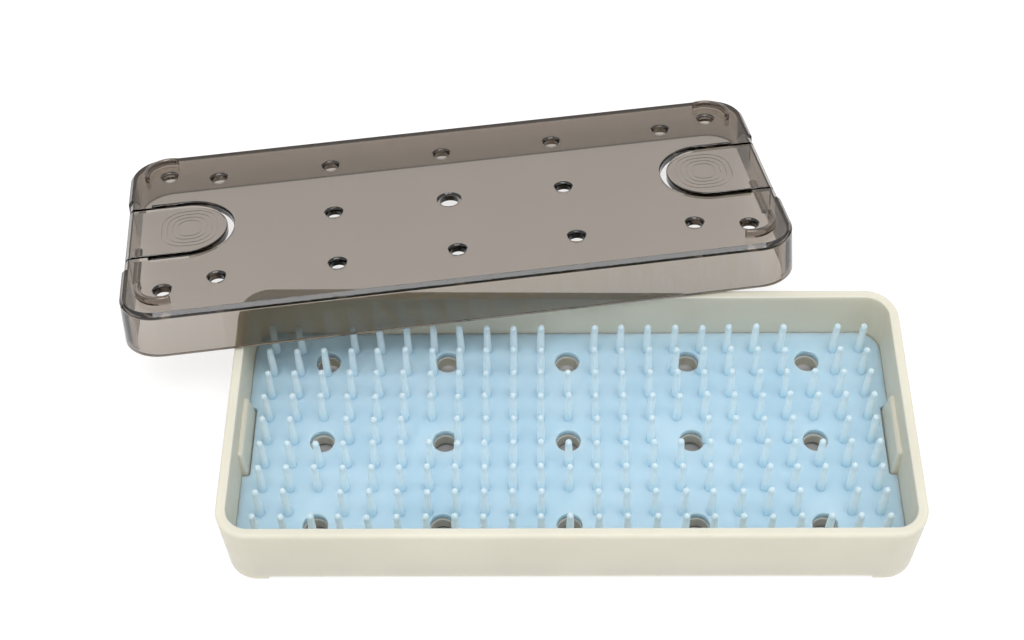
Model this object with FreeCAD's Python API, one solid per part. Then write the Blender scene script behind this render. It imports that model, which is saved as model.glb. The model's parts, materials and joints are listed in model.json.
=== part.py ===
import FreeCAD, Part
import math
import os

# A small instrument sterilization tray: a moulded base, a silicone mat whose fingers hold the
# instruments, and a smoked lid with two press tabs. The lid lies half off, its front edge on the
# tray's rim and its back edge on the table.
#
# Frame, in mm: the origin is the middle of the tray's underside, +X runs along the tray, +Y goes
# to the back, +Z is up, and the table is at z = 0.

Vector = FreeCAD.Vector
BOTH_ENDS = (-1, 1)

# Tray base
TRAY_HALF_X = 77.4  # at the rim
TRAY_HALF_Y = 33.0
TRAY_HEIGHT = 20.0
TRAY_DRAFT = 0.5  # how far each wall leans in from rim to foot
TRAY_CORNER_R = 7.5
TRAY_WALL = 2.3
TRAY_INNER_DRAFT = 0.1  # how far each inner wall leans in from rim to floor
TRAY_FLOOR_TOP = 4.0
RIM_OUTER_ROUND = 0.8
RIM_INNER_ROUND = 0.5
FOOT_RELIEF_HEIGHT = 1.2  # step along the lower edge, between the corner feet
FOOT_RELIEF_DEPTH = 0.8
FOOT_CORNER_LENGTH = 9.5
FOOT_RING_WIDTH = 3.0
UNDERSIDE_RECESS = 0.7

# Drain holes, five across and three deep, shared by the base and the mat
HOLE_PITCH_X = 28.575
HOLE_PITCH_Y = 22.2
BASE_HOLE_R = 2.6
MAT_HOLE_R = 2.85

# Catch at each end: a pocket outside, and the boss that keeps the wall thick behind it
BOSS_TOP = 13.0
BOSS_FOOT_X = 73.2
BOSS_RIDGE_X = 74.0
BOSS_FOOT_HALF_Y = 9.2
BOSS_RIDGE_HALF_Y = 8.0
BOSS_ROUND = 0.6
BOSS_ROOT = 0.5  # how far it runs into the wall and the floor
POCKET_LOW = 7.5
POCKET_HIGH = 11.9
POCKET_HALF_Y = 7.6
POCKET_DEPTH = 1.3

# Silicone mat
MAT_GAP = 0.3  # round the edge
MAT_LIFT = 0.05  # under the sheet
MAT_THICKNESS = 2.05
MAT_LOW = TRAY_FLOOR_TOP + MAT_LIFT
MAT_TOP = MAT_LOW + MAT_THICKNESS
FINGER_PITCH = 6.35
FINGER_COLUMNS = 23
FINGER_ROWS = 9
FINGER_HEIGHT = 10.2
FINGER_FOOT_R = 1.0
FINGER_TIP_R = 0.75
# places with no finger, because a drain hole is there: {row from the front: columns from the left}
NO_FINGER = {2: (3, 12, 21), 5: (3, 7, 12, 16, 21), 8: (12, 21), 9: (3, 12, 21)}

# Lid, in its own frame: origin in the middle of the top face, same directions as the tray when shut
LID_HALF_X = 79.1  # at the top edge
LID_HALF_Y = 34.35
LID_DRAFT = 0.5
LID_HEIGHT = 11.8
LID_CORNER_R = 9.0
LID_TOP_THICKNESS = 2.0
LID_INNER_HALF_X = 77.65
LID_INNER_HALF_Y = 33.2
LID_EDGE_CHAMFER = 0.9
LID_HOLE_R = 1.85  # under the chamfer
LID_HOLE_LOW_R = 1.75  # at the underside
MIDDLE_HOLE_R = 2.35
LID_HOLE_PITCH_X = 28.3
LID_HOLE_PITCH_Y = 21.8
LID_HOLE_CHAMFER = 0.85
DISH_R = 3.1  # the shallow dish round the middle hole
DISH_DEPTH = 0.5
CORNER_HOLE_X = 69.1
CORNER_HOLE_Y = 24.8
END_INSET_X = 78.55  # the end walls are thinned to this face over their middle
END_INSET_HALF_Y = 15.0

# Stacking ribs, one arc round each corner hole
RIB_MID_R = 5.6
RIB_WIDTH = 1.2
RIB_HEIGHT = 1.9
RIB_HALF_ANGLE = 62.0
RIB_ROOT = 0.2  # how far it runs down into the top

# Press tab at each end of the lid
TAB_HALF_Y = 10.2
TAB_TIP_X = 54.2
SLOT_HALF_Y = 11.8
SLOT_TIP_X = 52.7
SLOT_OUTER_X = 72.7  # from here outward the slot is a narrow slit
SLIT_WIDTH = 0.7
SLIT_LOW = -6.5  # the slits end here, and the tab turns about this height
WALL_SPLIT = 0.06  # below the slits the tab's wall is parted from the lid's by a hair
BEAD_HIGH = -9.9
BEAD_LOW = -11.4
BEAD_DEPTH = 0.9
BEAD_HALF_Y = 7.0
BEAD_CREST_HALF = 0.3  # half the height of its flat crest
BEAD_ROOT = 0.2  # how far it runs into the wall
RING_CENTRE_X = 63.4
RING_HALF_SIZES = ((6.7, 7.5), (5.4, 6.1), (4.1, 4.7), (2.8, 3.3))  # grip lines, along X and Y
RING_ROUNDNESS = 0.85  # corner radius as a share of the half size along X
RING_WIDTH = 0.35
RING_DEPTH = 0.2

# Where the lid lies
LID_PLACE = Vector(-28.6, 60.05, 21.56)
LID_YAW = 7.9
LID_PITCH = 0.0
LID_ROLL = -17.1

EXTRA = 1.0  # how far a cutting shape runs past what it cuts
OVERLAP = 0.1  # how far cutting shapes that are joined run into each other
TOUCHING = 1e-4  # closer than this counts as the same place


def outline(half_x, half_y, radius, z, centre_x=0.0):
    """A closed rectangle with round corners, flat at height z."""
    arcs = []
    for side_x, side_y, start in ((1, 1, 0), (-1, 1, 90), (-1, -1, 180), (1, -1, 270)):
        middle = Vector(centre_x + side_x * (half_x - radius), side_y * (half_y - radius), z)
        arcs.append([middle + polar(radius, start + turn) for turn in (0, 45, 90)])
    edges = []
    for arc, following in zip(arcs, arcs[1:] + arcs[:1]):
        edges.append(Part.Arc(*arc).toShape())
        edges.append(Part.makeLine(arc[-1], following[0]))
    return Part.Wire(edges)


def polar(radius, degrees):
    angle = math.radians(degrees)
    return Vector(radius * math.cos(angle), radius * math.sin(angle), 0)


def tapered_block(low, high):
    """The solid between two outlines, each given as (half_x, half_y, radius, z)."""
    return Part.makeLoft([outline(*low), outline(*high)], True, True)


def box(low, high):
    size = Vector(*high) - Vector(*low)
    return Part.makeBox(size.x, size.y, size.z, Vector(*low))


def mirrored_box(side, near_x, far_x, half_y, low, high):
    """A box at one end, from near_x out to far_x, spread evenly about y = 0."""
    ends = sorted((side * near_x, side * far_x))
    return box((ends[0], -half_y, low), (ends[1], half_y, high))


def edges_at(shape, height):
    """The edges that lie flat at one height."""
    return [
        edge
        for edge in shape.Edges
        if abs(edge.BoundBox.ZMin - height) < TOUCHING and abs(edge.BoundBox.ZMax - height) < TOUCHING
    ]


def grid_places(pitch_x, pitch_y, skip=()):
    """The drain holes' places, five across and three deep, without the (column, row) pairs in skip."""
    return [
        (column * pitch_x, row * pitch_y)
        for column in range(-2, 3)
        for row in range(-1, 2)
        if (column, row) not in skip
    ]


def hole_grid(radius, low, high):
    """Upright cylinders at the tray's and mat's drain holes."""
    places = grid_places(HOLE_PITCH_X, HOLE_PITCH_Y)
    return [Part.makeCylinder(radius, high - low, Vector(x, y, low)) for x, y in places]


def turned_drill(profile, x, y):
    """A cutter turned about an upright axis, from (radius, height) points from its foot to its top."""
    foot = Vector(0, 0, profile[0][1])
    top = Vector(0, 0, profile[-1][1])
    side = [Vector(radius, 0, height) for radius, height in profile]
    face = Part.Face(Part.makePolygon([foot, *side, top, foot]))
    drill = face.revolve(Vector(0, 0, 0), Vector(0, 0, 1), 360)
    drill.translate(Vector(x, y, 0))
    return drill


def catch_boss(side):
    """The swelling inside an end wall, wider at its foot than at its ridge."""
    anchor_x = TRAY_HALF_X - TRAY_WALL + BOSS_ROOT
    wires = []
    for near_x, half_y, z in (
        (BOSS_FOOT_X, BOSS_FOOT_HALF_Y, TRAY_FLOOR_TOP - BOSS_ROOT),
        (BOSS_RIDGE_X, BOSS_RIDGE_HALF_Y, BOSS_TOP),
    ):
        corners = [
            Vector(side * anchor_x, -half_y, z),
            Vector(side * near_x, -half_y, z),
            Vector(side * near_x, half_y, z),
            Vector(side * anchor_x, half_y, z),
        ]
        wires.append(Part.makePolygon(corners + corners[:1]))
    boss = Part.makeLoft(wires, True, True)
    shown_edges = [
        edge
        for edge in boss.Edges
        if abs(edge.CenterOfMass.x) < anchor_x - TOUCHING and edge.BoundBox.ZMax > TRAY_FLOOR_TOP
    ]
    return boss.makeFillet(BOSS_ROUND, shown_edges)


def tray_walls():
    """The tray's walls and floor, with a rounded rim."""
    walls = tapered_block(
        (TRAY_HALF_X - TRAY_DRAFT, TRAY_HALF_Y - TRAY_DRAFT, TRAY_CORNER_R, 0),
        (TRAY_HALF_X, TRAY_HALF_Y, TRAY_CORNER_R, TRAY_HEIGHT),
    )
    walls = walls.makeFillet(RIM_OUTER_ROUND, edges_at(walls, TRAY_HEIGHT))
    inner_x = TRAY_HALF_X - TRAY_WALL
    inner_y = TRAY_HALF_Y - TRAY_WALL
    inner_r = TRAY_CORNER_R - TRAY_WALL
    hollow = tapered_block(
        (inner_x - TRAY_INNER_DRAFT, inner_y - TRAY_INNER_DRAFT, inner_r, TRAY_FLOOR_TOP),
        (inner_x, inner_y, inner_r, TRAY_HEIGHT),
    )
    walls = walls.cut(hollow)
    inner_rim = [
        edge for edge in edges_at(walls, TRAY_HEIGHT) if edge.distToShape(hollow)[0] < TOUCHING
    ]
    return walls.makeFillet(RIM_INNER_ROUND, inner_rim)


def foot_cutters():
    """The recess under the floor, and the step along the foot between the corner feet."""
    foot_x = TRAY_HALF_X - TRAY_DRAFT
    foot_y = TRAY_HALF_Y - TRAY_DRAFT
    ring = (foot_x - FOOT_RING_WIDTH, foot_y - FOOT_RING_WIDTH, TRAY_CORNER_R - FOOT_RING_WIDTH)
    cutters = [tapered_block((*ring, -EXTRA), (*ring, UNDERSIDE_RECESS))]
    step_half_x = foot_x - FOOT_CORNER_LENGTH
    step_half_y = foot_y - FOOT_CORNER_LENGTH
    for side in BOTH_ENDS:
        near_x = foot_x - FOOT_RELIEF_DEPTH
        cutters.append(
            mirrored_box(side, near_x, foot_x + EXTRA, step_half_y, -EXTRA, FOOT_RELIEF_HEIGHT)
        )
        near_y, far_y = sorted((side * (foot_y - FOOT_RELIEF_DEPTH), side * (foot_y + EXTRA)))
        cutters.append(box((-step_half_x, near_y, -EXTRA), (step_half_x, far_y, FOOT_RELIEF_HEIGHT)))
    return cutters


def catch_pocket(side):
    """The pocket outside an end wall that takes a tab's bead."""
    near_x = TRAY_HALF_X - POCKET_DEPTH
    return mirrored_box(side, near_x, TRAY_HALF_X + EXTRA, POCKET_HALF_Y, POCKET_LOW, POCKET_HIGH)


def base_tray():
    tray = tray_walls().fuse([catch_boss(side) for side in BOTH_ENDS])
    holes = hole_grid(BASE_HOLE_R, -EXTRA, TRAY_FLOOR_TOP + EXTRA)
    pockets = [catch_pocket(side) for side in BOTH_ENDS]
    return tray.cut(holes + foot_cutters() + pockets).removeSplitter()


def mat_sheet():
    """The mat's flat sheet, holed over the drain holes and notched round the bosses."""
    half_x = TRAY_HALF_X - TRAY_WALL - TRAY_INNER_DRAFT - MAT_GAP
    half_y = TRAY_HALF_Y - TRAY_WALL - TRAY_INNER_DRAFT - MAT_GAP
    edge = (half_x, half_y, TRAY_CORNER_R - TRAY_WALL)
    sheet = tapered_block((*edge, MAT_LOW), (*edge, MAT_TOP))
    low = MAT_LOW - EXTRA
    high = MAT_TOP + EXTRA
    cutters = hole_grid(MAT_HOLE_R, low, high)
    for side in BOTH_ENDS:
        near_x = BOSS_FOOT_X - MAT_GAP
        cutters.append(mirrored_box(side, near_x, half_x + EXTRA, BOSS_FOOT_HALF_Y + MAT_GAP, low, high))
    return sheet.cut(cutters)


def finger():
    """One soft finger standing on the mat at the origin, with a round tip."""
    shoulder = FINGER_HEIGHT - FINGER_TIP_R
    halfway = FINGER_TIP_R / math.sqrt(2)
    profile = Part.Wire(
        [
            Part.makeLine(Vector(0, 0, 0), Vector(FINGER_FOOT_R, 0, 0)),
            Part.makeLine(Vector(FINGER_FOOT_R, 0, 0), Vector(FINGER_TIP_R, 0, shoulder)),
            Part.Arc(
                Vector(FINGER_TIP_R, 0, shoulder),
                Vector(halfway, 0, shoulder + halfway),
                Vector(0, 0, FINGER_HEIGHT),
            ).toShape(),
            Part.makeLine(Vector(0, 0, FINGER_HEIGHT), Vector(0, 0, 0)),
        ]
    )
    return Part.Face(profile).revolve(Vector(0, 0, 0), Vector(0, 0, 1), 360)


def mat_fingers():
    pattern = finger()
    fingers = []
    for row in range(1, FINGER_ROWS + 1):
        for column in range(1, FINGER_COLUMNS + 1):
            if column in NO_FINGER.get(row, ()):
                continue
            copy = pattern.copy()
            across = (column - (FINGER_COLUMNS + 1) / 2) * FINGER_PITCH
            back = (row - (FINGER_ROWS + 1) / 2) * FINGER_PITCH
            copy.translate(Vector(across, back, MAT_TOP))
            fingers.append(copy)
    return Part.makeCompound(fingers)


def lid_blank():
    """The lid as one piece, before its tabs are slit free."""
    blank = tapered_block(
        (LID_HALF_X + LID_DRAFT, LID_HALF_Y + LID_DRAFT, LID_CORNER_R, -LID_HEIGHT),
        (LID_HALF_X, LID_HALF_Y, LID_CORNER_R, 0),
    )
    insets = [
        mirrored_box(
            side, END_INSET_X, LID_HALF_X + LID_DRAFT + EXTRA, END_INSET_HALF_Y, -LID_HEIGHT - EXTRA, EXTRA
        )
        for side in BOTH_ENDS
    ]
    blank = blank.cut(insets)
    blank = blank.makeChamfer(LID_EDGE_CHAMFER, edges_at(blank, 0))
    inner_r = LID_CORNER_R - (LID_HALF_Y - LID_INNER_HALF_Y)
    hollow = tapered_block(
        (LID_INNER_HALF_X, LID_INNER_HALF_Y, inner_r, -LID_HEIGHT - EXTRA),
        (LID_INNER_HALF_X, LID_INNER_HALF_Y, inner_r, -LID_TOP_THICKNESS),
    )
    return blank.cut(hollow)


def lid_drills():
    """Cutters for the lid's holes: all have a wide chamfer, but the middle one has a dish."""
    unlike = ((-2, 0), (2, 0), (0, 0))  # the tabs take two places, and the middle hole differs
    places = grid_places(LID_HOLE_PITCH_X, LID_HOLE_PITCH_Y, unlike)
    places += [(x * CORNER_HOLE_X, y * CORNER_HOLE_Y) for x in BOTH_ENDS for y in BOTH_ENDS]
    draft = (LID_HOLE_R - LID_HOLE_LOW_R) / (LID_TOP_THICKNESS - LID_HOLE_CHAMFER)
    low = -LID_TOP_THICKNESS - EXTRA
    chamfered = [
        (LID_HOLE_LOW_R - draft * EXTRA, low),
        (LID_HOLE_R, -LID_HOLE_CHAMFER),
        (LID_HOLE_R + LID_HOLE_CHAMFER + EXTRA, EXTRA),
    ]
    dish_slope = (DISH_R - MIDDLE_HOLE_R) / DISH_DEPTH
    dished = [(MIDDLE_HOLE_R, low), (MIDDLE_HOLE_R, -DISH_DEPTH), (DISH_R + dish_slope * EXTRA, EXTRA)]
    return [turned_drill(chamfered, x, y) for x, y in places] + [turned_drill(dished, 0, 0)]


def stadium_end(side, tip_x, half_y, outer_x, low, high):
    """A tongue outline: straight sides from outer_x in to a half-round tip at tip_x."""
    centre = tip_x + half_y
    tongue = Part.makeCylinder(half_y, high - low, Vector(side * centre, 0, low))
    return tongue.fuse(mirrored_box(side, centre, outer_x, half_y, low, high))


def tab_opening(side):
    """What is cut from the lid to free one tab: a wide slot, narrow slits, and a hair below them."""
    past_wall = LID_HALF_X + LID_DRAFT + EXTRA
    slot = stadium_end(side, SLOT_TIP_X, SLOT_HALF_Y, SLOT_OUTER_X, -LID_TOP_THICKNESS - EXTRA, EXTRA)
    near_x = SLOT_OUTER_X - OVERLAP
    slits = mirrored_box(side, near_x, past_wall, TAB_HALF_Y + SLIT_WIDTH, SLIT_LOW, EXTRA)
    low = -LID_HEIGHT - EXTRA
    split = mirrored_box(side, near_x, past_wall, TAB_HALF_Y + WALL_SPLIT, low, SLIT_LOW + OVERLAP)
    return slot.fuse([slits, split])


def stacking_rib(side_x, side_y):
    """An arc of wall on the top face, on the outward side of a corner hole, with round ends."""
    facing = math.degrees(math.atan2(side_y, side_x))
    centre = Vector(side_x * CORNER_HOLE_X, side_y * CORNER_HOLE_Y, -RIB_ROOT)
    height = RIB_HEIGHT + RIB_ROOT
    up = Vector(0, 0, 1)
    sector = Part.makeCylinder(RIB_MID_R + RIB_WIDTH / 2, height, centre, up, 2 * RIB_HALF_ANGLE)
    sector.rotate(centre, up, facing - RIB_HALF_ANGLE)
    rib = sector.cut(Part.makeCylinder(RIB_MID_R - RIB_WIDTH / 2, height, centre))
    ends = [
        Part.makeCylinder(RIB_WIDTH / 2, height, centre + polar(RIB_MID_R, facing + turn))
        for turn in (-RIB_HALF_ANGLE, RIB_HALF_ANGLE)
    ]
    return rib.fuse(ends).removeSplitter()


def lid_shell():
    """All of the lid but its tabs."""
    shell = lid_blank().cut(lid_drills() + [tab_opening(side) for side in BOTH_ENDS])
    ribs = [stacking_rib(side_x, side_y) for side_x in BOTH_ENDS for side_y in BOTH_ENDS]
    return place_lid(shell.fuse(ribs).removeSplitter())


def grip_rings(side):
    """Shallow grooves on the tab's pad, one inside another."""
    grooves = []
    for half_x, half_y in RING_HALF_SIZES:
        walls = []
        for grow in (RING_WIDTH / 2, -RING_WIDTH / 2):
            radius = RING_ROUNDNESS * half_x + grow
            loop = outline(half_x + grow, half_y + grow, radius, -RING_DEPTH, side * RING_CENTRE_X)
            walls.append(Part.Face(loop).extrude(Vector(0, 0, RING_DEPTH + EXTRA)))
        grooves.append(walls[0].cut(walls[1]))
    return grooves


def catch_bead(side):
    """The bead inside the tab's wall that snaps into the tray's pocket."""
    root = LID_INNER_HALF_X + BEAD_ROOT
    crest = LID_INNER_HALF_X - BEAD_DEPTH
    middle = (BEAD_LOW + BEAD_HIGH) / 2
    corners = [
        Vector(side * root, -BEAD_HALF_Y, BEAD_HIGH),
        Vector(side * crest, -BEAD_HALF_Y, middle + BEAD_CREST_HALF),
        Vector(side * crest, -BEAD_HALF_Y, middle - BEAD_CREST_HALF),
        Vector(side * root, -BEAD_HALF_Y, BEAD_LOW),
    ]
    section = Part.Face(Part.makePolygon(corners + corners[:1]))
    return section.extrude(Vector(0, 2 * BEAD_HALF_Y, 0))


def latch_tab(side):
    """The press tab: its pad, the length of end wall that turns with it, and the bead."""
    past_wall = LID_HALF_X + LID_DRAFT + EXTRA
    pad_zone = stadium_end(side, TAB_TIP_X, TAB_HALF_Y, past_wall, -LID_TOP_THICKNESS - EXTRA, EXTRA)
    wall_zone = mirrored_box(side, SLOT_OUTER_X, past_wall, TAB_HALF_Y, -LID_HEIGHT - EXTRA, EXTRA)
    tab = lid_blank().common(pad_zone.fuse(wall_zone))
    tab = tab.fuse(catch_bead(side)).cut(grip_rings(side))
    return place_lid(tab.removeSplitter())


def place_lid(shape):
    """Turn a piece of the lid from the lid's own frame to where the lid lies."""
    turn = FreeCAD.Rotation(LID_YAW, LID_PITCH, LID_ROLL)
    placed = shape.copy()
    placed.Placement = FreeCAD.Placement(LID_PLACE, turn)
    return placed


PARTS = {
    "base_tray": base_tray(),
    "mat_sheet": mat_sheet(),
    "mat_fingers": mat_fingers(),
    "lid_shell": lid_shell(),
    "latch_tab_left": latch_tab(-1),
    "latch_tab_right": latch_tab(1),
}

os.makedirs("parts", exist_ok=True)
for name, shape in PARTS.items():
    if not shape.isValid():
        raise ValueError(name + " is not a valid shape")
    shape.exportStep(os.path.join("parts", name + ".step"))
    print(name, "solids", len(shape.Solids), "volume", round(shape.Volume, 1))
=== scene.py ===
import json
import math
import random

import bmesh
import bpy
from mathutils import Matrix, Vector


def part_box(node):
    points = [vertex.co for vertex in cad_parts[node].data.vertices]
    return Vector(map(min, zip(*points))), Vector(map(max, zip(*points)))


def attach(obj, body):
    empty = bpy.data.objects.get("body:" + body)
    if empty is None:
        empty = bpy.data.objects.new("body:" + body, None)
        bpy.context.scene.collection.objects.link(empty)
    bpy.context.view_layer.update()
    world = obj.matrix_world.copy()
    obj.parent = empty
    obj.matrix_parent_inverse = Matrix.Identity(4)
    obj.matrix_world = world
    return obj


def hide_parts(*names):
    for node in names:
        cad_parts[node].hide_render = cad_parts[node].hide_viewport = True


# An instrument sterilization tray: a cream tray, a silicone finger mat in it, and a smoked lid with
# two press tabs that lies half off. Meshes are modelled in millimetres and scaled to metres when
# they become objects. Tray and mat use the row frame. The lid uses its own frame: the origin is the
# middle of its top face, +X runs to its right end and +Z is up when it is shut.

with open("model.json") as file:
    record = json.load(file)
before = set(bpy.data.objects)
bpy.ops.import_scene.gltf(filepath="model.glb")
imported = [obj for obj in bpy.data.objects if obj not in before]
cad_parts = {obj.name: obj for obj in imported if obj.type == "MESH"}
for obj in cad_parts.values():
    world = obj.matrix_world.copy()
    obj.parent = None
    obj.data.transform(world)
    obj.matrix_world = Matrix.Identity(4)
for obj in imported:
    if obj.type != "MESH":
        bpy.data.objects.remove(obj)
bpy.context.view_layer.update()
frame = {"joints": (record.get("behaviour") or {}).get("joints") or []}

MM = 0.001
ENDS = (-1, 1)

# Sizes that the frame gives, in mm
TRAY_HALF_X, TRAY_HALF_Y, TRAY_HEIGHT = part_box("base_tray")[1] / MM
MAT_LOW, MAT_HIGH = (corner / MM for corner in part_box("mat_sheet"))
FINGER_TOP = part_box("mat_fingers")[1].z / MM

# Tray
TRAY_DRAFT = 0.45
TRAY_CORNER_R = 7.5
TIGHTEST_CORNER_R = 1.2  # as small as a corner gets, however far inside the outline
TRAY_WALL = 2.28
TRAY_INNER_DRAFT = 0.1
TRAY_FLOOR = 4.0
RIM_OUTER_ROUND = 0.8
RIM_INNER_ROUND = 0.3
FOOT_ROUND = 0.35
FLOOR_FILLET = 0.25
FOOT_RING = 3.0
FOOT_RECESS = 0.7
RECESS_LEAN = 0.2  # how far the recess's wall leans in
FOOT_STEP_HEIGHT = 1.2
FOOT_STEP_DEPTH = 0.8
FOOT_CORNER = 9.5
FOOT_STEP_CORNER_R = 0.3
HOLE_PITCH = (28.575, 22.2)
TRAY_HOLE_R = 2.6
TRAY_HOLE_ROUNDS = (0.2, 0.25)  # at its foot and its top
BOSS_FOOT = (73.2, 9.2)  # how near the middle its face stands, and its half width
BOSS_RIDGE = (74.0, 8.0)
BOSS_TOP = 13.0
BOSS_ROUND = 1.0
BOSS_END_ROUND = 0.85
BOSS_ROOT = (0.6, 0.5)  # how far it runs into the wall and the floor
POCKET_HALF_Y = 7.6
POCKET_LOW = 7.5
POCKET_HIGH = 11.9
POCKET_DEPTH = 1.3
POCKET_CORNER_R = 0.4

# Mat
MAT_CORNER_R = 5.2
MAT_EDGE_ROUND = 0.15
MAT_HOLE_R = 2.85
MAT_HOLE_ROUND = 0.3
NOTCH_HALF_Y = 9.26
NOTCH_X = 73.14
NOTCH_CORNER_R = 0.6
MAT_SPREAD = 0.27  # how far the soft edge bulges towards the tray's walls
FINGER_PITCH = 6.35
FINGER_COLUMNS = 23
FINGER_ROWS = 9
FINGER_FOOT_R = 1.0
FINGER_TIP_R = 0.75
FINGER_FLARE = 0.08  # how far the foot spreads into the sheet
FLARE_FADE = 0.22  # the height over which the spread falls to about a third
FLARE_RISES = (-0.15, 0.04, 0.1, 0.2, 0.4, 0.8)
FINGER_SEED = 7
FINGER_LEAN = 0.012  # typical slope of a finger
FINGER_SHORTFALL = 0.008  # typical share of its height that a finger lacks
FINGER_SWELL = 0.015  # typical change in a finger's thickness
BEND_POWER = 1.5  # 1 is a straight lean, and more bends the finger towards its tip
NO_FINGER = {2: (3, 12, 21), 5: (3, 7, 12, 16, 21), 8: (12, 21), 9: (3, 12, 21)}

# Lid, in its own frame
LID_HALF_X = 79.1
LID_HALF_Y = 34.35
LID_DRAFT = 0.5
LID_HEIGHT = 11.8
LID_CORNER_R = 9.0
LID_TOP = 2.0
LID_INNER_HALF_X = 77.65
LID_INNER_HALF_Y = 33.2
LID_CHAMFER = 0.9
CHAMFER_SOFT = 0.12  # how much the chamfer's own edges are eased
LID_EDGE_ROUND = 0.22
LID_HOLE_R = 1.85
LID_HOLE_LOW_R = 1.75
MIDDLE_HOLE_R = 2.35
LID_HOLE_PITCH = (28.3, 21.8)
LID_HOLE_ROUND = 0.85
LID_LOW_ROUND = 0.12  # round the underside's openings
DISH_R = 3.1
DISH_DEPTH = 0.5
DISH_POWER = 1.6  # over 1, the dish is steepest at its rim
DISH_LIP = (0.2, 0.04)  # how far past the rim, and above the top, the dish's cutter widens
CORNER_HOLE = (69.1, 24.8)
INSET_X = 78.55
INSET_HALF_Y = 15.0
INSET_CORNER_R = 0.25
WEDGE_SHORT = 0.02  # how far the wedges stop short of the inset's ends
RIB_MID_R = 5.6
RIB_WIDTH = 1.2
RIB_HEIGHT = 1.9
RIB_HALF_ANGLE = 62.0
RIB_ROUND = 0.35
RIB_ROOT = 0.5  # how far it runs down into the top
TAB_HALF_Y = 10.2
TAB_TIP_X = 54.2
TAB_ROUND = 0.3
SLOT_HALF_Y = 11.8
SLOT_TIP_X = 52.7
SLOT_OUTER_X = 72.7
SLOT_ROUND = 0.5
SLIT_WIDTH = 0.7
SLIT_LOW = -6.5
SLIT_OVERLAP = 0.3  # how far a slit runs into the slot
SLIT_CORNER_R = 0.1
BEAD = (-9.9, -11.4, 0.9, 7.0)  # top, foot, depth and half width
BEAD_ROOT = 0.2  # how far it runs into the wall
BEAD_CREST_HALF = 0.3
RING_CENTRE_X = 63.4
RING_HALF_SIZES = ((6.7, 7.5), (5.4, 6.1), (4.1, 4.7), (2.8, 3.3))
RING_ROUNDNESS = 0.85
RING_WIDTH = 0.5
RING_DEPTH = 0.1

PAST = 1.0  # how far a cutting shape runs past what it cuts
OVERLAP = 0.1  # how far cuts that meet run into each other
SKIN = 0.01  # how far a shape stands off a face that it would otherwise share
CORNER_STEPS = 14  # facets in a round corner
SMALL_CORNER_STEPS = 3  # in a corner too small to see as round
HOLE_STEPS = 48  # facets round a hole
ROUND_STEPS = 4  # facets across a rounded edge
RIM_STEPS = (8, 6)  # across the rim's outer and inner edges
BOSS_STEPS = 8
DISH_STEPS = 8
RIB_STEPS = 28  # along a rib
RIB_END_STEPS = 8
RING_STEPS = 12
FINGER_FACETS = 16
FINGER_STEPS = 7  # rings up a finger's shaft
TIP_STEPS = 6
SHARP_DEGREES = 32  # a bend of more than this shows as an edge
MERGE_SOLID = 1e-5  # points nearer than this are one point, in mm
MERGE_FINAL = 2e-4
THINNEST = 1e-4  # thinner faces are dissolved

# Colours, linear
CREAMS = ((0.57, 0.545, 0.46), (0.61, 0.585, 0.495))
BLUES = ((0.42, 0.59, 0.70), (0.48, 0.64, 0.74))
# Painted light: a paler blue that lifts the fingers' shaded sides. Painted shade: a darker blue that dulls
# the highlight on their tips.
FINGER_PAINTED_LIGHT = (0.62, 0.755, 0.83)
TIP_PAINTED_SHADE = (0.45, 0.58, 0.66)
SMOKE_SURFACE = (0.62, 0.575, 0.53)
SMOKE_DEPTH = (0.36, 0.29, 0.22)
SMOKE_DENSITY = 280
TABLE_WHITES = ((0.34, 0.34, 0.34), (0.36, 0.36, 0.36))
WHITE = (1.0, 1.0, 1.0)

# Where the fingers' painted light and their tips' painted shade change, in mm
PAINTED_LIGHT_RISE = 3.5  # above the sheet, where the painted light on a finger is full
TIP_SHADE_FADE = (3.0, 0.2)  # below the tip, where the painted shade starts and where it is full

# Table and light
TABLE_HALF = 2500.0
TABLE_THICKNESS = 20.0
TABLE_GAP = 0.05  # under the tray
GLOW = 0.7
GLOW_SHADE_UNDER_TRAY = (9.0, 4.0)  # inside the tray's outline, where the glow is gone and where it starts to go, which paints shade on the table under the tray
SKY_STRENGTH = (0.15, 1.05)  # near the horizon and well above it
SKY_RISE = (0.1, 0.4)  # the upward part of the direction where it starts to brighten, and where it is bright
SOFT_BOX_PLACE = (0.05, -0.2, 1.0)  # metres, as are the target and the size
SOFT_BOX_TARGET = (0, 0.02, 0)
SOFT_BOX_SIZE = (0.8, 0.45)
SOFT_BOX_WATTS = 5.0


# ---------------------------------------------------------------- outlines and profiles


def rounded_rectangle(half_x, half_y, radius, steps=CORNER_STEPS, centre=(0.0, 0.0)):
    """Points round a rectangle with round corners, anticlockwise."""
    points = []
    for side_x, side_y, start in ((1, 1, 0), (-1, 1, 90), (-1, -1, 180), (1, -1, 270)):
        for step in range(steps + 1):
            angle = math.radians(start + 90 * step / steps)
            x = centre[0] + side_x * (half_x - radius) + radius * math.cos(angle)
            y = centre[1] + side_y * (half_y - radius) + radius * math.sin(angle)
            points.append((x, y))
    return points


def circle(radius, centre=(0.0, 0.0), steps=HOLE_STEPS):
    """Points round a circle, anticlockwise."""
    turn = 2 * math.pi / steps
    return [
        (centre[0] + radius * math.cos(turn * step), centre[1] + radius * math.sin(turn * step))
        for step in range(steps)
    ]


def tongue(side, tip_x, half_y, outer_x, steps=2 * HOLE_STEPS // 3):
    """Points round a tongue that comes in from one end: straight sides and a half-round tip."""
    centre = tip_x + half_y
    points = [(outer_x, half_y)]
    for step in range(steps + 1):
        angle = math.radians(90 + 180 * step / steps)
        points.append((centre + half_y * math.cos(angle), half_y * math.sin(angle)))
    points.append((outer_x, -half_y))
    if side < 0:
        points = [(-x, y) for x, y in reversed(points)]
    return points


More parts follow.
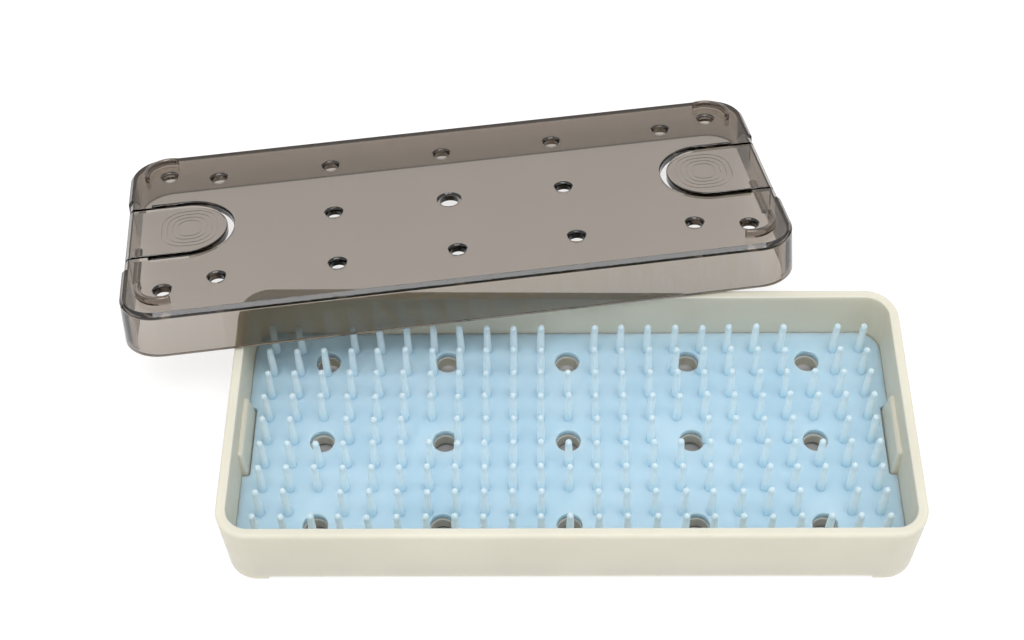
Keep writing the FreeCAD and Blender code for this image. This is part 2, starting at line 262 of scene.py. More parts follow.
def arc_band(centre, radius, half_width, facing, half_angle, steps=RIB_STEPS):
    """Points round a bent bar with half-round ends."""
    def at(r, degrees, about=centre):
        angle = math.radians(degrees)
        return (about[0] + r * math.cos(angle), about[1] + r * math.sin(angle))

    points = []
    for step in range(steps + 1):
        points.append(at(radius + half_width, facing - half_angle + 2 * half_angle * step / steps))
    tip = at(radius, facing + half_angle)
    for step in range(1, RIB_END_STEPS):
        points.append(at(half_width, facing + half_angle + 180 * step / RIB_END_STEPS, tip))
    for step in range(steps + 1):
        points.append(at(radius - half_width, facing + half_angle - 2 * half_angle * step / steps))
    tip = at(radius, facing - half_angle)
    for step in range(1, RIB_END_STEPS):
        points.append(at(half_width, facing - half_angle + 180 + 180 * step / RIB_END_STEPS, tip))
    return points


def quarter(radius, steps=ROUND_STEPS):
    """(run, rise) pairs along a quarter round, from a wall's line to a face's line."""
    pairs = []
    for step in range(steps + 1):
        angle = math.pi / 2 * step / steps
        pairs.append((radius * (1 - math.cos(angle)), radius * math.sin(angle)))
    return pairs


def flared(low, high, low_round, high_round):
    """(growth, z) stations of a drill that leaves rounded edges on a plate from low to high."""
    stations = [(low_round, low - PAST)]
    stations += [(run, low + low_round - rise) for run, rise in reversed(quarter(low_round)[:-1])]
    stations += [(run, high - high_round + rise) for run, rise in quarter(high_round)[:-1]]
    stations.append((high_round, high + PAST))
    return stations


# ---------------------------------------------------------------- meshes


def add_loft(mesh, loops, as_ring=False):
    """Joins loops of points into a closed surface: a ring, or a bar with a flat cap at each end."""
    rings = [[mesh.verts.new(point) for point in loop] for loop in loops]
    followers = rings[1:] + rings[:1] if as_ring else rings[1:]
    for low, high in zip(rings, followers):
        for index in range(len(low)):
            after = (index + 1) % len(low)
            mesh.faces.new((low[index], low[after], high[after], high[index]))
    if not as_ring:
        mesh.faces.new(list(reversed(rings[0])))
        mesh.faces.new(rings[-1])


def loft_of(outline, stations):
    """Loops of one outline function, which takes a growth, at (growth, z) stations."""
    return [[(x, y, z) for x, y in outline(growth)] for growth, z in stations]


def upright(points, low, high):
    """Loops of one outline at two heights."""
    return [[(x, y, z) for x, y in points] for z in (low, high)]


def solid(name, lofts, as_rings=False):
    """An object in mm made of closed lofts."""
    mesh = bmesh.new()
    for loops in lofts:
        add_loft(mesh, loops, as_rings)
    bmesh.ops.remove_doubles(mesh, verts=mesh.verts, dist=MERGE_SOLID)
    bmesh.ops.recalc_face_normals(mesh, faces=mesh.faces)
    data = bpy.data.meshes.new(name)
    mesh.to_mesh(data)
    mesh.free()
    made = bpy.data.objects.new(name, data)
    bpy.context.scene.collection.objects.link(made)
    return made


def block(name, low, high):
    """A plain box."""
    outline = [(low[0], low[1]), (high[0], low[1]), (high[0], high[1]), (low[0], high[1])]
    return solid(name, [upright(outline, low[2], high[2])])


def apply_modifiers(made):
    """Makes an object's modified mesh its own."""
    graph = bpy.context.evaluated_depsgraph_get()
    final = bpy.data.meshes.new_from_object(made.evaluated_get(graph))
    old = made.data
    made.modifiers.clear()
    made.data = final
    final.name = made.name
    bpy.data.meshes.remove(old)


def combine(made, other, operation):
    """Cuts, joins or intersects made with other, and removes other."""
    modifier = made.modifiers.new("combine", "BOOLEAN")
    modifier.operation = operation
    modifier.solver = "EXACT"
    modifier.object = other
    apply_modifiers(made)
    data = other.data
    bpy.data.objects.remove(other)
    bpy.data.meshes.remove(data)


def polish(made):
    """Smooth shading that keeps flat faces flat and real corners sharp."""
    mesh = bmesh.new()
    mesh.from_mesh(made.data)
    bmesh.ops.remove_doubles(mesh, verts=mesh.verts, dist=MERGE_FINAL)
    bmesh.ops.dissolve_degenerate(mesh, edges=mesh.edges, dist=THINNEST)
    mesh.to_mesh(made.data)
    mesh.free()
    for face in made.data.polygons:
        face.use_smooth = True
    made.data.set_sharp_from_angle(angle=math.radians(SHARP_DEGREES))
    modifier = made.modifiers.new("normals", "WEIGHTED_NORMAL")
    modifier.keep_sharp = True
    modifier.weight = 100
    apply_modifiers(made)


def settle(made, matrix, material, body, slot, *nodes):
    """Scales a finished piece to metres in the row frame, attaches it to its body and hides the CAD nodes it
    stands for.
    """
    made.data.transform(Matrix.Scale(MM, 4) @ matrix)
    made.data.materials.clear()
    made.data.materials.append(material)
    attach(made, body)
    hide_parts(*nodes)


# ---------------------------------------------------------------- tray


def hole_places(pitch, skip=()):
    """The drain holes' grid, five across and three deep."""
    return [
        (column * pitch[0], row * pitch[1])
        for column in range(-2, 3)
        for row in range(-1, 2)
        if (column, row) not in skip
    ]


def drills(places, radius, stations):
    """Round cutters at several places, from (growth, z) stations."""
    return [loft_of(lambda grow, at=at: circle(radius + grow, at), stations) for at in places]


def tray_outline(inset):
    """The tray's outline, drawn in by an inset."""
    radius = max(TRAY_CORNER_R - inset, TIGHTEST_CORNER_R)
    return rounded_rectangle(TRAY_HALF_X - inset, TRAY_HALF_Y - inset, radius)


def tray_walls():
    """The tray's skin from the recess underneath, round the foot, up, over the rim and down to the floor."""
    floor_inset = TRAY_WALL + TRAY_INNER_DRAFT
    outer_rim, inner_rim = (
        quarter(radius, steps) for radius, steps in zip((RIM_OUTER_ROUND, RIM_INNER_ROUND), RIM_STEPS)
    )
    stations = [(TRAY_DRAFT + FOOT_RING + RECESS_LEAN, FOOT_RECESS), (TRAY_DRAFT + FOOT_RING, 0.0)]
    stations += [
        (TRAY_DRAFT + run, FOOT_ROUND - rise) for run, rise in reversed(quarter(FOOT_ROUND))
    ]
    stations += [(run, TRAY_HEIGHT - RIM_OUTER_ROUND + rise) for run, rise in outer_rim]
    stations += [(TRAY_WALL - run, TRAY_HEIGHT - RIM_INNER_ROUND + rise) for run, rise in reversed(inner_rim)]
    stations += [
        (floor_inset + run, TRAY_FLOOR + FLOOR_FILLET - rise) for run, rise in quarter(FLOOR_FILLET)
    ]
    return loft_of(tray_outline, stations)


def boss(side):
    """The catch boss inside an end wall: a sloped body with a rounded ridge on top."""
    root_x = TRAY_HALF_X - TRAY_WALL + BOSS_ROOT[0]
    levels = [(*BOSS_FOOT, TRAY_FLOOR - BOSS_ROOT[1])]
    shoulder = BOSS_TOP - BOSS_ROUND
    for run, rise in quarter(BOSS_ROUND, BOSS_STEPS):
        levels.append((BOSS_RIDGE[0] + run, BOSS_RIDGE[1] - run / 2, shoulder + rise))
    loops = []
    for near_x, half_y, z in levels:
        middle = (near_x + root_x + BOSS_ROUND) / 2
        half_x = (root_x + BOSS_ROUND - near_x) / 2
        points = rounded_rectangle(half_x, half_y, BOSS_END_ROUND, BOSS_STEPS, (side * middle, 0.0))
        loops.append([(x, y, z) for x, y in points])
    return loops


def foot_steps():
    """Cutting boxes for the step along the foot between the corner feet."""
    foot_x = TRAY_HALF_X - TRAY_DRAFT
    foot_y = TRAY_HALF_Y - TRAY_DRAFT
    run_x = foot_x - FOOT_CORNER
    run_y = foot_y - FOOT_CORNER
    cuts = []
    for side in ENDS:
        along_x = (run_x, PAST, (0.0, side * (foot_y - FOOT_STEP_DEPTH + PAST)))
        along_y = (PAST, run_y, (side * (foot_x - FOOT_STEP_DEPTH + PAST), 0.0))
        for half_x, half_y, middle in (along_x, along_y):
            points = rounded_rectangle(half_x, half_y, FOOT_STEP_CORNER_R, SMALL_CORNER_STEPS, middle)
            cuts.append(upright(points, -PAST, FOOT_STEP_HEIGHT))
    return cuts


def pockets():
    """Cutting boxes for the pockets that take the lid's beads."""
    cuts = []
    for side in ENDS:
        middle = (side * (TRAY_HALF_X - POCKET_DEPTH + 2 * PAST), 0.0)
        points = rounded_rectangle(2 * PAST, POCKET_HALF_Y, POCKET_CORNER_R, SMALL_CORNER_STEPS, middle)
        cuts.append(upright(points, POCKET_LOW, POCKET_HIGH))
    return cuts


def build_tray(material):
    """The tray: its walls and floor, with a boss in each end, holes, foot steps and pockets."""
    tray = solid("tray_body", [tray_walls()])
    combine(tray, solid("bosses", [boss(side) for side in ENDS]), "UNION")
    stations = flared(FOOT_RECESS, TRAY_FLOOR, *TRAY_HOLE_ROUNDS)
    holes = drills(hole_places(HOLE_PITCH), TRAY_HOLE_R, stations)
    combine(tray, solid("cuts", holes + foot_steps() + pockets()), "DIFFERENCE")
    polish(tray)
    settle(tray, Matrix.Identity(4), material, "base", "tray_plastic", "base_tray")


# ---------------------------------------------------------------- mat


def divide(made):
    """Parts a sheet's faces between the fingers, so that each finger joins a face of its own."""
    mesh = bmesh.new()
    mesh.from_mesh(made.data)
    for across, count in ((Vector((1, 0, 0)), FINGER_COLUMNS), (Vector((0, 1, 0)), FINGER_ROWS)):
        for line in range(count + 1):
            place = across * (line - count / 2) * FINGER_PITCH
            parts = mesh.verts[:] + mesh.edges[:] + mesh.faces[:]
            bmesh.ops.bisect_plane(mesh, geom=parts, plane_co=place, plane_no=across)
    mesh.to_mesh(made.data)
    mesh.free()


def build_sheet():
    """The mat's sheet, with soft edges, holes and a notch round each boss."""
    edge = quarter(MAT_EDGE_ROUND)
    stations = [(-run, MAT_LOW.z + MAT_EDGE_ROUND - rise) for run, rise in reversed(edge)]
    stations += [(-run, MAT_HIGH.z - MAT_EDGE_ROUND + rise) for run, rise in edge]

    def outline(grow):
        reach = MAT_SPREAD + grow
        return rounded_rectangle(MAT_HIGH.x + reach, MAT_HIGH.y + reach, MAT_CORNER_R + reach)

    sheet = solid("silicone_mat", [loft_of(outline, stations)])
    divide(sheet)
    drill = flared(MAT_LOW.z, MAT_HIGH.z, MAT_HOLE_ROUND, MAT_HOLE_ROUND)
    cuts = drills(hole_places(HOLE_PITCH), MAT_HOLE_R, drill)
    for side in ENDS:
        middle = (side * (NOTCH_X + 2 * PAST), 0.0)

        def notch(grow, middle=middle):
            radius = NOTCH_CORNER_R + grow
            return rounded_rectangle(2 * PAST + grow, NOTCH_HALF_Y + grow, radius, ROUND_STEPS, middle)

        cuts.append(loft_of(notch, drill))
    combine(sheet, solid("cuts", cuts), "DIFFERENCE")
    return sheet


def finger_profile(height, swell):
    """(rise, radius) pairs up a finger: it spreads at its foot, tapers, and ends in a round tip."""
    shoulder = height - FINGER_TIP_R
    shaft = FLARE_RISES[-1]
    rings = [(rise, FINGER_FLARE * math.exp(-max(rise, 0) / FLARE_FADE)) for rise in FLARE_RISES]
    for step in range(1, FINGER_STEPS + 1):
        rings.append((shaft + (shoulder - shaft) * step / FINGER_STEPS, 0.0))
    profile = []
    for rise, flare in rings:
        share = max(rise, 0) / shoulder
        radius = (FINGER_FOOT_R + (FINGER_TIP_R - FINGER_FOOT_R) * share) * swell + flare
        profile.append((rise, radius))
    for step in range(1, TIP_STEPS):
        angle = math.radians(90 * step / TIP_STEPS)
        rise = shoulder + FINGER_TIP_R * math.sin(angle)
        profile.append((rise, FINGER_TIP_R * swell * math.cos(angle)))
    return profile


def finger_loops(foot, height, lean, swell):
    """One soft finger, which grows out of the sheet and bends a little to one side."""
    loops = []
    for rise, radius in finger_profile(height, swell):
        bend = (max(rise, 0) / height) ** BEND_POWER * height
        centre = (foot[0] + lean[0] * bend, foot[1] + lean[1] * bend)
        drop = (lean[0] ** 2 + lean[1] ** 2) * bend / 2
        loops.append([(x, y, MAT_HIGH.z + rise - drop) for x, y in circle(radius, centre, FINGER_FACETS)])
    return loops


def build_fingers():
    """The fingers, each a little different, as moulded silicone is."""
    shuffle = random.Random(FINGER_SEED)
    height = FINGER_TOP - MAT_HIGH.z
    fingers = []
    for row in range(1, FINGER_ROWS + 1):
        for column in range(1, FINGER_COLUMNS + 1):
            lean = (shuffle.gauss(0, FINGER_LEAN), shuffle.gauss(0, FINGER_LEAN))
            shorter = 1 - abs(shuffle.gauss(0, FINGER_SHORTFALL))
            swell = 1 + shuffle.gauss(0, FINGER_SWELL)
            if column in NO_FINGER.get(row, ()):
                continue
            foot = (
                (column - (FINGER_COLUMNS + 1) / 2) * FINGER_PITCH,
                (row - (FINGER_ROWS + 1) / 2) * FINGER_PITCH,
            )
            fingers.append(finger_loops(foot, height * shorter, lean, swell))
    return solid("fingers", fingers)


def build_mat(material):
    """The mat is one moulding, so its fingers are joined to its sheet."""
    mat = build_sheet()
    combine(mat, build_fingers(), "UNION")
    polish(mat)
    settle(mat, Matrix.Identity(4), material, "mat", "silicone", "mat_sheet", "mat_fingers")


# ---------------------------------------------------------------- lid


def lid_place():
    """The lid's frame in the row frame, in mm, from the two tab hinges, which are fixed in the lid."""
    hinges = {joint["child"]: joint for joint in frame["joints"] if joint["type"] == "hinge"}
    left, right = (Vector(hinges[body]["pos_m"]) / MM for body in ("tab_left", "tab_right"))
    across = (right - left).normalized()
    back = Vector(hinges["tab_left"]["axis"]).normalized()
    up = across.cross(back)
    place = Matrix((across, back, up)).transposed().to_4x4()
    place.translation = (left + right) / 2 - up * SLIT_LOW
    return place


def lid_blank(name):
    """The whole lid before its holes and tabs: a chamfered top, a skirt, and a hollow underneath."""
    bend = LID_EDGE_ROUND
    foot = -LID_HEIGHT + bend
    outside = [
        (-LID_CHAMFER, 0.0),
        (-LID_CHAMFER + CHAMFER_SOFT, -CHAMFER_SOFT / 2),
        (-CHAMFER_SOFT / 2, -LID_CHAMFER + CHAMFER_SOFT),
        (0.0, -LID_CHAMFER - CHAMFER_SOFT / 2),
    ]
    outside += [(LID_DRAFT - run, foot - rise) for run, rise in quarter(bend)]
    inside = [(run, foot - rise) for run, rise in reversed(quarter(bend))]
    inside += [(-run, -LID_TOP - bend + rise) for run, rise in quarter(bend)]

    def outer(grow):
        return rounded_rectangle(LID_HALF_X + grow, LID_HALF_Y + grow, LID_CORNER_R + grow)

    def inner(grow):
        radius = LID_CORNER_R - LID_HALF_Y + LID_INNER_HALF_Y
        return rounded_rectangle(LID_INNER_HALF_X + grow, LID_INNER_HALF_Y + grow, radius + grow)

    return solid(name, [loft_of(outer, outside) + loft_of(inner, inside)])


def inset_cutters():
    """Cutters that thin each end wall over its middle."""
    cutters = []
    for side in ENDS:
        middle = (side * (INSET_X + 2 * PAST), 0.0)
        points = rounded_rectangle(2 * PAST, INSET_HALF_Y, INSET_CORNER_R, SMALL_CORNER_STEPS, middle)
        cutters.append(upright(points, -LID_HEIGHT - PAST, PAST))
    return cutters


def chamfer_cutters():
    """Wedges that chamfer the top edge along the thinned stretch of each end wall."""
    cutters = []
    reach = INSET_HALF_Y - WEDGE_SHORT
    for side in ENDS:
        section = [
            (side * (INSET_X - LID_CHAMFER - PAST), PAST),
            (side * (INSET_X + PAST), -LID_CHAMFER - PAST),
            (side * (INSET_X + 2 * PAST), PAST),
        ]
        cutters.append([[(x, y, z) for x, z in section] for y in (-reach, reach)])
    return cutters


def shaped_blank(name):
    """The blank with its thinned end walls, which the lid and both tabs start from."""
    blank = lid_blank(name)
    combine(blank, solid("insets", inset_cutters()), "DIFFERENCE")
    combine(blank, solid("wedges", chamfer_cutters()), "DIFFERENCE")
    return blank


def lid_holes():
    """The holes over the tray's grid, except under the tabs, and one in each corner."""
    places = hole_places(LID_HOLE_PITCH, skip=((-2, 0), (2, 0), (0, 0)))
    places += [(x * CORNER_HOLE[0], y * CORNER_HOLE[1]) for x in ENDS for y in ENDS]
    stations = []
    for grow, z in flared(-LID_TOP, 0.0, LID_LOW_ROUND, LID_HOLE_ROUND):
        share = min(max((-z - LID_HOLE_ROUND) / (LID_TOP - LID_HOLE_ROUND), 0.0), 1.0)
        stations.append((grow - (LID_HOLE_R - LID_HOLE_LOW_R) * share, z))
    return drills(places, LID_HOLE_R, stations) + [middle_hole()]


def middle_hole():
    """The middle hole, which is straight and lies in a shallow dish with a soft edge."""
    low = -LID_TOP
    reach = DISH_R - MIDDLE_HOLE_R
    stations = [(LID_LOW_ROUND, low - PAST), (LID_LOW_ROUND, low), (0.0, low + LID_LOW_ROUND)]
    for step in range(DISH_STEPS + 1):
        share = step / DISH_STEPS
        stations.append((reach * share, -DISH_DEPTH * (1 - share ** DISH_POWER)))
    stations += [(reach + DISH_LIP[0], z) for z in (DISH_LIP[1], PAST)]
    return loft_of(lambda grow: circle(MIDDLE_HOLE_R + grow), stations)


def slots():
    """The wide slot round each tab's pad, with rounded edges."""
    stations = flared(-LID_TOP, 0.0, LID_LOW_ROUND, SLOT_ROUND)
    cuts = []
    for side in ENDS:

        def slot(grow, side=side):
            return tongue(side, SLOT_TIP_X - grow, SLOT_HALF_Y + grow, SLOT_OUTER_X + grow)

        cuts.append(loft_of(slot, stations))
    return cuts


def slits():
    """The narrow slits past the wide slot, and the parting below them."""
    far = LID_HALF_X + LID_DRAFT + PAST
    near = SLOT_OUTER_X - SLIT_OVERLAP
    half_x = (far - near) / 2
    slit = (TAB_HALF_Y + SLIT_WIDTH, SLIT_LOW, PAST)
    parting = (TAB_HALF_Y, -LID_HEIGHT - PAST, SLIT_LOW + OVERLAP)
    cuts = []
    for side in ENDS:
        middle = (side * (near + far) / 2, 0.0)
        for half_y, low, high in (slit, parting):
            points = rounded_rectangle(half_x, half_y, SLIT_CORNER_R, 2, middle)
            cuts.append(upright(points, low, high))
    return cuts


def ribs():
    """Stacking ribs: an arc of wall round each corner hole, on its outward side, with a rounded top."""
    stations = [(0.0, -RIB_ROOT)]
    stations += [(-run, RIB_HEIGHT - RIB_ROUND + rise) for run, rise in quarter(RIB_ROUND)]
    made = []
    for side_x in ENDS:
        for side_y in ENDS:
            centre = (side_x * CORNER_HOLE[0], side_y * CORNER_HOLE[1])
            facing = math.degrees(math.atan2(side_y, side_x))

            def rib(grow, centre=centre, facing=facing):
                return arc_band(centre, RIB_MID_R, RIB_WIDTH / 2 + grow, facing, RIB_HALF_ANGLE)

            made.append(loft_of(rib, stations))
    return made


def build_lid(place, material):
    """The lid without its tabs: ribs on top, holes through it, and the tabs' slots and slits."""
    lid = shaped_blank("lid_body")
    combine(lid, solid("ribs", ribs()), "UNION")
    combine(lid, solid("holes", lid_holes() + slots()), "DIFFERENCE")
    for loops in slits():
        combine(lid, solid("slit", [loops]), "DIFFERENCE")
    polish(lid)
    settle(lid, place, material, "lid", "smoked_plastic", "lid_shell")


def tab_zone(side):
    """What the tab keeps of the lid's top: its pad, with soft edges."""
    far = LID_HALF_X + LID_DRAFT + PAST
    low_round = TAB_ROUND / 2
    stations = [(-low_round, -LID_TOP - SKIN)]
    stations += [(-run, -LID_TOP + low_round - rise) for run, rise in reversed(quarter(low_round)[:-1])]
    stations += [(-run, -TAB_ROUND + rise) for run, rise in quarter(TAB_ROUND)[:-1]]
    stations.append((-TAB_ROUND, SKIN))

    def outline(grow):
        return tongue(side, TAB_TIP_X - grow, TAB_HALF_Y + grow, far)

    return loft_of(outline, stations)


def grip_rings(side):
    """Cutters for the fine grooves on the pad, one ring inside another."""
    half = RING_WIDTH / 2
    stations = [(half, PAST), (half, 0.0), (0.0, -RING_DEPTH), (-half, 0.0), (-half, PAST)]
    centre = (side * RING_CENTRE_X, 0.0)
    bands = []
    for half_x, half_y in RING_HALF_SIZES:

        def ring(grow, half_x=half_x, half_y=half_y):
            radius = RING_ROUNDNESS * half_x + grow
            return rounded_rectangle(half_x + grow, half_y + grow, radius, RING_STEPS, centre)

        bands.append(loft_of(ring, stations))
    return bands


def bead(side):
    """The bead inside the tab's wall that snaps into the tray's pocket."""
    high, low, depth, half_y = BEAD
    root = LID_INNER_HALF_X + BEAD_ROOT
    crest = LID_INNER_HALF_X - depth
    middle = (high + low) / 2
    section = [
        (root, low),
        (crest, middle - BEAD_CREST_HALF),
        (crest, middle + BEAD_CREST_HALF),
        (root, high),
    ]
    return [[(side * x, y, z) for x, z in section] for y in (-half_y, half_y)]


def build_tab(side, name, body, node, place, material):
    """A press tab: its pad, the length of end wall that turns with it, the bead and the grip rings."""
    tab = shaped_blank(name)
    far = LID_HALF_X + LID_DRAFT + PAST
    near_x, far_x = sorted((side * SLOT_OUTER_X, side * far))
    half_y = TAB_HALF_Y + SKIN
    wall = block("wall", (near_x, -half_y, -LID_HEIGHT - PAST), (far_x, half_y, -LID_TOP / 2))
    combine(wall, solid("pad", [tab_zone(side)]), "UNION")
    combine(tab, wall, "INTERSECT")
    combine(tab, solid("bead", [bead(side)]), "UNION")
    combine(tab, solid("rings", grip_rings(side), as_rings=True), "DIFFERENCE")
    polish(tab)
    settle(tab, place, material, body, "smoked_plastic", node)


# ---------------------------------------------------------------- materials


def new_material(name):
    """A node material, its tree and its shader."""
    material = bpy.data.materials.new(name)
    material.use_nodes = True
    tree = material.node_tree
    return material, tree, tree.nodes["Principled BSDF"]


def noise(tree, per_mm, detail=3.0, roughness=0.5):
    """Noise fixed to the piece, with so many features to the millimetre."""
    coordinates = tree.nodes.new("ShaderNodeTexCoord")
    texture = tree.nodes.new("ShaderNodeTexNoise")
    texture.inputs["Scale"].default_value = per_mm / MM
    texture.inputs["Detail"].default_value = detail
    texture.inputs["Roughness"].default_value = roughness
    tree.links.new(coordinates.outputs["Object"], texture.inputs["Vector"])
    return texture.outputs["Fac"]


def spread(tree, source, low, high, from_low=0.3, from_high=0.7):
    """Maps a value to the range from low to high."""
    mapped = tree.nodes.new("ShaderNodeMapRange")
    mapped.inputs["From Min"].default_value = from_low
    mapped.inputs["From Max"].default_value = from_high
    mapped.inputs["To Min"].default_value = low
    mapped.inputs["To Max"].default_value = high
    tree.links.new(source, mapped.inputs["Value"])
    return mapped.outputs["Result"]


def along(tree, axis, kind="Object"):
    """One axis of the place on the piece in metres or, for a world's "Generated", of the direction."""
    coordinates = tree.nodes.new("ShaderNodeTexCoord")
    parts = tree.nodes.new("ShaderNodeSeparateXYZ")
    tree.links.new(coordinates.outputs[kind], parts.inputs["Vector"])
    return parts.outputs[axis]


def tint(tree, source, first, second):
    """Mixes two colours by a value from 0 to 1. The first may be another node's colour."""
    mix = tree.nodes.new("ShaderNodeMix")
    mix.data_type = "RGBA"
    if isinstance(first, tuple):
        mix.inputs["A"].default_value = (*first, 1)
    else:
        tree.links.new(first, mix.inputs["A"])
    mix.inputs["B"].default_value = (*second, 1)
    tree.links.new(source, mix.inputs["Factor"])
    return mix.outputs["Result"]


def bump(tree, shader, *layers):
    """Stacks bump layers, each (height source, depth in mm), onto a shader."""
    normal = None
    for source, depth in layers:
        node = tree.nodes.new("ShaderNodeBump")
        node.inputs["Strength"].default_value = 1.0
        node.inputs["Distance"].default_value = depth * MM
        tree.links.new(source, node.inputs["Height"])
        if normal is not None:
            tree.links.new(normal, node.inputs["Normal"])
        normal = node.outputs["Normal"]
    tree.links.new(normal, shader.inputs["Normal"])


def tray_plastic():
    """Cream moulded plastic with a fine matte grain and faint scuffs."""
    material, tree, shader = new_material("tray_cream")
    cloud = spread(tree, noise(tree, 0.05), 0.0, 1.0)
    tree.links.new(tint(tree, cloud, *CREAMS), shader.inputs["Base Color"])
    tree.links.new(spread(tree, noise(tree, 0.4, 5.0), 0.36, 0.5), shader.inputs["Roughness"])
    shader.inputs["IOR"].default_value = 1.5
    shader.inputs["Subsurface Weight"].default_value = 0.6
    shader.inputs["Subsurface Radius"].default_value = (1.0, 0.9, 0.7)
    shader.inputs["Subsurface Scale"].default_value = 6.0 * MM
    bump(tree, shader, (noise(tree, 0.12), 0.02), (noise(tree, 3.0, 2.0), 0.004))
    return material


def silicone():
    """Light blue silicone, cloudy and soft. The fingers are painted paler than the sheet to lift their shaded
    sides, and their tips are painted darker to dull the highlight there.
    """
    material, tree, shader = new_material("silicone_blue")
    cloud = spread(tree, noise(tree, 0.09, 4.0), 0.0, 1.0)
    sheet = tint(tree, cloud, *BLUES)
    height = along(tree, "Z")
    # Painted light: the fingers grow paler above the sheet, to lift their shaded sides
    rise = spread(tree, height, 0.0, 1.0, MAT_HIGH.z * MM, (MAT_HIGH.z + PAINTED_LIGHT_RISE) * MM)
    # Painted shade: the tips darken, to dull their highlight
    tip = spread(tree, height, 0.0, 1.0, *((FINGER_TOP - below) * MM for below in TIP_SHADE_FADE))
    finger = tint(tree, rise, sheet, FINGER_PAINTED_LIGHT)
    tree.links.new(tint(tree, tip, finger, TIP_PAINTED_SHADE), shader.inputs["Base Color"])
    tree.links.new(spread(tree, noise(tree, 0.6, 4.0), 0.44, 0.58), shader.inputs["Roughness"])
    shader.inputs["IOR"].default_value = 1.41
    shader.inputs["Specular IOR Level"].default_value = 0.2
    shader.inputs["Subsurface Weight"].default_value = 1.0
    shader.inputs["Subsurface Radius"].default_value = (0.9, 1.0, 1.0)
    shader.inputs["Subsurface Scale"].default_value = 4.0 * MM
    bump(tree, shader, (noise(tree, 0.2), 0.03), (noise(tree, 2.5, 2.0), 0.005))
    return material


def smoked_plastic():
    """Clear smoked plastic: it darkens with thickness, and its skin has faint flow marks."""
    material, tree, shader = new_material("smoked_clear")
    shader.inputs["Base Color"].default_value = (*SMOKE_SURFACE, 1)
    shader.inputs["Transmission Weight"].default_value = 1.0
    shader.inputs["IOR"].default_value = 1.56
    tree.links.new(spread(tree, noise(tree, 0.3, 4.0), 0.015, 0.05), shader.inputs["Roughness"])
    bump(tree, shader, (noise(tree, 0.04, 1.0), 0.006))
    absorption = tree.nodes.new("ShaderNodeVolumeAbsorption")
    absorption.inputs["Color"].default_value = (*SMOKE_DEPTH, 1)
    absorption.inputs["Density"].default_value = SMOKE_DENSITY
    tree.links.new(absorption.outputs["Volume"], tree.nodes["Material Output"].inputs["Volume"])
    return material


# ---------------------------------------------------------------- stage, light and camera


def build_floor():
    """A plain white table top. It glows a little, but not under the tray, where the glow fades out and so
    paints shade that the holes show.
    """
    material, tree, shader = new_material("table_white")
    cloud = spread(tree, noise(tree, 0.004), 0.0, 1.0)
    tree.links.new(tint(tree, cloud, *TABLE_WHITES), shader.inputs["Base Color"])
    shader.inputs["Roughness"].default_value = 0.9
    shader.inputs["Specular IOR Level"].default_value = 0.0
    shader.inputs["Emission Color"].default_value = (*WHITE, 1)
    # Painted shade: the glow fades out over the tray's footprint, so the table under the tray reads dark
    outside = tree.nodes.new("ShaderNodeMath")
    outside.operation = "MAXIMUM"
    for axis, half, socket in zip("XY", (TRAY_HALF_X, TRAY_HALF_Y), outside.inputs):
        size = tree.nodes.new("ShaderNodeMath")
        size.operation = "ABSOLUTE"
        tree.links.new(along(tree, axis), size.inputs[0])
        fade = spread(tree, size.outputs[0], 0.0, 1.0, *((half - inside) * MM for inside in GLOW_SHADE_UNDER_TRAY))
        tree.links.new(fade, socket)
    glow = spread(tree, outside.outputs[0], 0.0, GLOW, 0.0, 1.0)
    tree.links.new(glow, shader.inputs["Emission Strength"])
    low = (-TABLE_HALF, -TABLE_HALF, -TABLE_THICKNESS)
    floor = block("table_top", low, (TABLE_HALF, TABLE_HALF, -TABLE_GAP))
    floor.data.transform(Matrix.Scale(MM, 4))
    floor.data.materials.append(material)


def add_area_light(name, place, target, size, watts):
    """A rectangular light at a place in metres, turned to face its target."""
    data = bpy.data.lights.new(name, "AREA")
    data.shape = "RECTANGLE"
    data.size, data.size_y = size
    data.energy = watts
    light = bpy.data.objects.new(name, data)
    light.location = place
    light.rotation_euler = (Vector(target) - Vector(place)).to_track_quat("-Z", "Y").to_euler()
    bpy.context.scene.collection.objects.link(light)


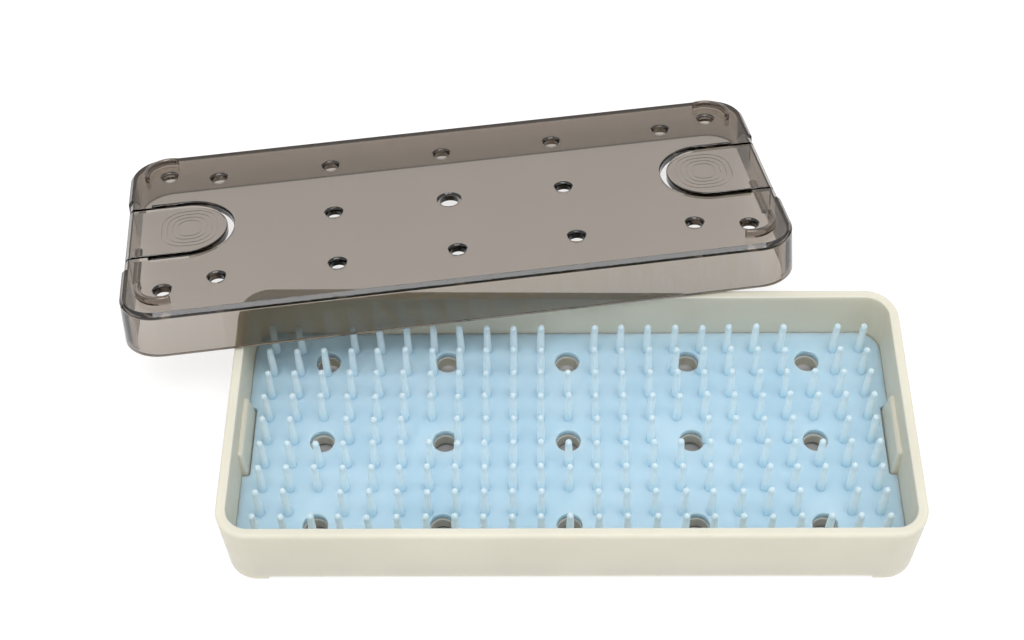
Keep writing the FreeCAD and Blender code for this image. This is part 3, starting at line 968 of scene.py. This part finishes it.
def build_light():
    """A white surround, dim near the horizon, and a wide soft box almost overhead."""
    world = bpy.data.worlds.new("surround")
    bpy.context.scene.world = world
    world.use_nodes = True
    tree = world.node_tree
    background = tree.nodes["Background"]
    background.inputs["Color"].default_value = (*WHITE, 1)
    strength = spread(tree, along(tree, "Z", "Generated"), *SKY_STRENGTH, *SKY_RISE)
    tree.links.new(strength, background.inputs["Strength"])
    add_area_light("soft_box", SOFT_BOX_PLACE, SOFT_BOX_TARGET, SOFT_BOX_SIZE, SOFT_BOX_WATTS)
    scene = bpy.context.scene
    scene.view_settings.view_transform = "Standard"
    scene.cycles.max_bounces = 24
    scene.cycles.transmission_bounces = 20
    scene.cycles.diffuse_bounces = 6
    scene.cycles.glossy_bounces = 8


def build_camera():
    """The camera stands in front of the tray and above it, and is turned a little on its own axis."""
    target = Vector((-13.22, 33.18, 8.0)) * MM
    distance = 418.5 * MM
    azimuth = math.radians(1.487)
    elevation = math.radians(54.022)
    roll = math.radians(-1.433)
    back = Vector(
        (
            math.sin(azimuth) * math.cos(elevation),
            -math.cos(azimuth) * math.cos(elevation),
            math.sin(elevation),
        )
    )
    right = (-back).cross(Vector((0, 0, 1))).normalized()
    up = back.cross(right)
    rolled_right = right * math.cos(roll) + up * math.sin(roll)
    rolled_up = up * math.cos(roll) - right * math.sin(roll)
    data = bpy.data.cameras.new("camera")
    data.lens = 60.73
    data.sensor_width = 36.0
    data.clip_start = 0.01
    data.clip_end = 20.0
    camera = bpy.data.objects.new("camera", data)
    turn = Matrix((rolled_right, rolled_up, back)).transposed().to_4x4()
    camera.matrix_world = Matrix.Translation(target + back * distance) @ turn
    bpy.context.scene.collection.objects.link(camera)
    bpy.context.scene.camera = camera


build_camera()
build_light()
build_floor()
build_tray(tray_plastic())
build_mat(silicone())
smoke = smoked_plastic()
lid_at = lid_place()
build_lid(lid_at, smoke)
build_tab(-1, "press_tab_left", "tab_left", "latch_tab_left", lid_at, smoke)
build_tab(1, "press_tab_right", "tab_right", "latch_tab_right", lid_at, smoke)

bpy.context.view_layer.update()
